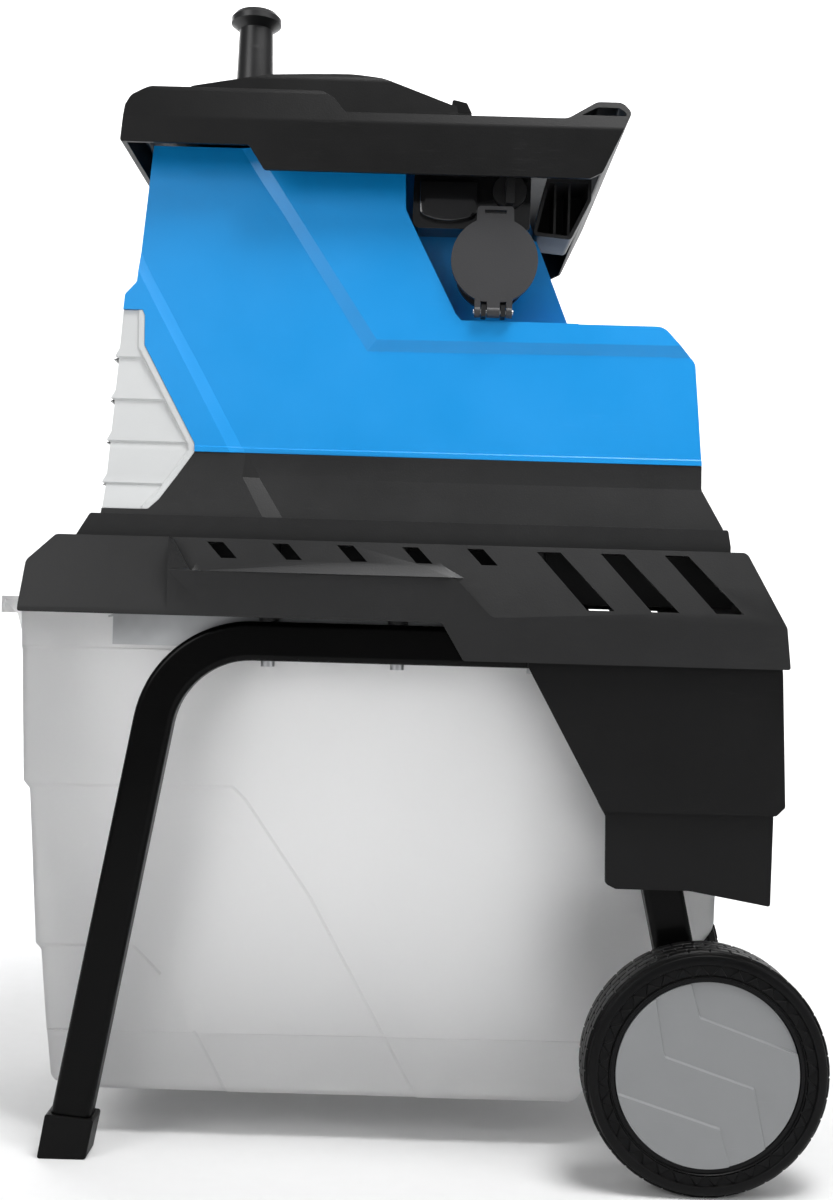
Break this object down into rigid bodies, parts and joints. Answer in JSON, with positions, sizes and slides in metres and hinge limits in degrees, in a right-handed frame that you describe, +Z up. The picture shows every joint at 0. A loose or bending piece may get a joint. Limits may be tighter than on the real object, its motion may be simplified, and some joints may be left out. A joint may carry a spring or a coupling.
{
  "type": "garden shredder",
  "caption": "Electric garden shredder with a geared cutting drum, feed hopper and plunger, on a wheeled tubular stand with a slide-out collection bin.",
  "frame": {"origin": "on the floor, below the middle of the whole object's box", "axes": "+X towards the wheels, +Y to the right-hand side seen from behind the wheels' opposite end, +Z up"},
  "size_m": [0.679, 0.452, 1],
  "materials": {
    "tube_black": "gloss",
    "zinc": "bright zinc plating",
    "steel": "machined",
    "tool_steel": "hardened, ground edges",
    "rail_steel": "dark phosphated",
    "foot_rubber": "matt",
    "tyre": "matt, moulded tread",
    "rim_plastic": "satin",
    "hub_grey": "satin, fine grain",
    "body_blue": "satin gloss",
    "body_black": "satin, fine spark texture",
    "grille_grey": "satin",
    "bin_white": "translucent, satin",
    "switch_black": "gloss",
    "button_green": "gloss",
    "button_red": "gloss",
    "lid_grey": "matt",
    "socket_black": "matt",
    "brass": "nickel-free contact brass",
    "cast_alloy": "as cast",
    "lamination": "varnished laminations",
    "fan_plastic": "satin",
    "capacitor_grey": "satin",
    "lock_red": "satin gloss",
    "knob_black": "satin",
    "plunger_black": "satin, knurled grip"
  },
  "bodies": {
    "chassis": {"frame_left": "tube_black", "frame_right": "tube_black", "frame_bolts": "zinc", "foot_caps": "foot_rubber", "axle": "steel", "axle_clips": "zinc", "wheel_spacers": "rim_plastic", "rail_left": "rail_steel", "rail_right": "rail_steel", "base_tray": "body_black", "safety_switch": "socket_black", "rear_guard": "body_black", "guard_screws": "zinc", "front_grille": "grille_grey", "motor_base": "body_black", "shell_left": "body_blue", "shell_right": "body_blue", "shell_screws": "zinc", "cutter_housing": "cast_alloy", "drum_bearings": "steel", "feed_chute": "body_black", "discharge_chute": "foot_rubber", "gear_housing": "cast_alloy", "gear_cover": "cast_alloy", "motor_housing": "cast_alloy", "motor_bearings": "steel", "stator": "lamination", "capacitor": "capacitor_grey", "hopper": "body_black", "feed_hood": "body_black", "grip_bracket": "body_black", "switch_housing": "switch_black", "inlet_socket": "socket_black", "inlet_pins": "brass", "lid_pin": "zinc"},
    "bin": {"collection_bin": "bin_white"},
    "lock": {"bin_lock": "lock_red"},
    "wheel_left": {"tyre_left": "tyre", "rim_left": "rim_plastic", "hub_cap_left": "hub_grey"},
    "wheel_right": {"tyre_right": "tyre", "rim_right": "rim_plastic", "hub_cap_right": "hub_grey"},
    "plunger": {"plunger_blade": "plunger_black", "plunger_grip": "plunger_black"},
    "start": {"start_button": "button_green"},
    "stop": {"stop_button": "button_red"},
    "selector": {"direction_selector": "knob_black"},
    "reset": {"reset_button": "knob_black"},
    "lid": {"inlet_lid": "lid_grey"},
    "drum": {"cutting_drum": "tool_steel", "drum_gear": "steel"},
    "second": {"second_gear": "steel"},
    "first": {"first_gear": "steel"},
    "rotor": {"rotor": "steel", "motor_fan": "fan_plastic"},
    "plate": {"pressure_plate": "cast_alloy"},
    "adjuster": {"adjuster_screw": "zinc", "adjuster_knob": "knob_black"}
  },
  "joints": [
    {"name": "bin_slide", "type": "slide", "parent": "chassis", "child": "bin", "axis": [-1, 0, 0], "range_m": [0, 0.56]},
    {"name": "lock_slide", "type": "slide", "parent": "chassis", "child": "lock", "axis": [0, 0, -1], "range_m": [0, 0.007]},
    {"name": "wheel_left_spin", "type": "hinge", "parent": "chassis", "child": "wheel_left", "pos_m": [0.2445, -0.203, 0.095], "axis": [0, 1, 0], "continuous": true},
    {"name": "wheel_right_spin", "type": "hinge", "parent": "chassis", "child": "wheel_right", "pos_m": [0.2445, 0.203, 0.095], "axis": [0, 1, 0], "continuous": true},
    {"name": "plunger_lift", "type": "slide", "parent": "chassis", "child": "plunger", "axis": [0, 0, 1], "range_m": [0, 0.2]},
    {"name": "start_press", "type": "slide", "parent": "chassis", "child": "start", "axis": [0, 1, 0], "range_m": [0, 0.003], "stiffness_N_per_m": 800, "springref_m": -0.001},
    {"name": "stop_press", "type": "slide", "parent": "chassis", "child": "stop", "axis": [0, 1, 0], "range_m": [0, 0.003], "stiffness_N_per_m": 800, "springref_m": -0.001},
    {"name": "selector_turn", "type": "hinge", "parent": "chassis", "child": "selector", "pos_m": [0.079, -0.14, 0.8], "axis": [0, -1, 0], "range_deg": [0, 90]},
    {"name": "reset_press", "type": "slide", "parent": "chassis", "child": "reset", "axis": [0, 0, 1], "range_m": [0, 0.002], "stiffness_N_per_m": 800, "springref_m": -0.001},
    {"name": "lid_swing", "type": "hinge", "parent": "chassis", "child": "lid", "pos_m": [0.0669, -0.1525, 0.694], "axis": [1, 0, 0], "range_deg": [0, 115], "stiffness_Nm_per_rad": 0.03, "springref_deg": -45.84},
    {"name": "rotor_spin", "type": "hinge", "parent": "chassis", "child": "rotor", "pos_m": [0.1, 0.01848, 0.60878], "axis": [1, 0, 0], "continuous": true},
    {"name": "first_gear_spin", "type": "hinge", "parent": "chassis", "child": "first", "pos_m": [-0.02, 0.05745, 0.58628], "axis": [1, 0, 0], "continuous": true},
    {"name": "second_gear_spin", "type": "hinge", "parent": "chassis", "child": "second", "pos_m": [-0.02, 0.0342, 0.62655], "axis": [1, 0, 0], "continuous": true},
    {"name": "drum_spin", "type": "hinge", "parent": "chassis", "child": "drum", "pos_m": [-0.14, -0.025, 0.605], "axis": [1, 0, 0], "continuous": true},
    {"name": "adjuster_turn", "type": "hinge", "parent": "chassis", "child": "adjuster", "pos_m": [-0.1405, 0.17, 0.605], "axis": [0, -1, 0], "range_deg": [0, 720]},
    {"name": "plate_slide", "type": "slide", "parent": "chassis", "child": "plate", "axis": [0, -1, 0], "range_m": [0, 0.0041]}
  ],
  "couplings": [
    {"joint": "first_gear_spin", "follows": "rotor_spin", "ratio": -0.2},
    {"joint": "second_gear_spin", "follows": "rotor_spin", "ratio": 0.048},
    {"joint": "drum_spin", "follows": "rotor_spin", "ratio": -0.016},
    {"joint": "plate_slide", "follows": "adjuster_turn", "m_per_rad": 0.00031831}
  ]
}
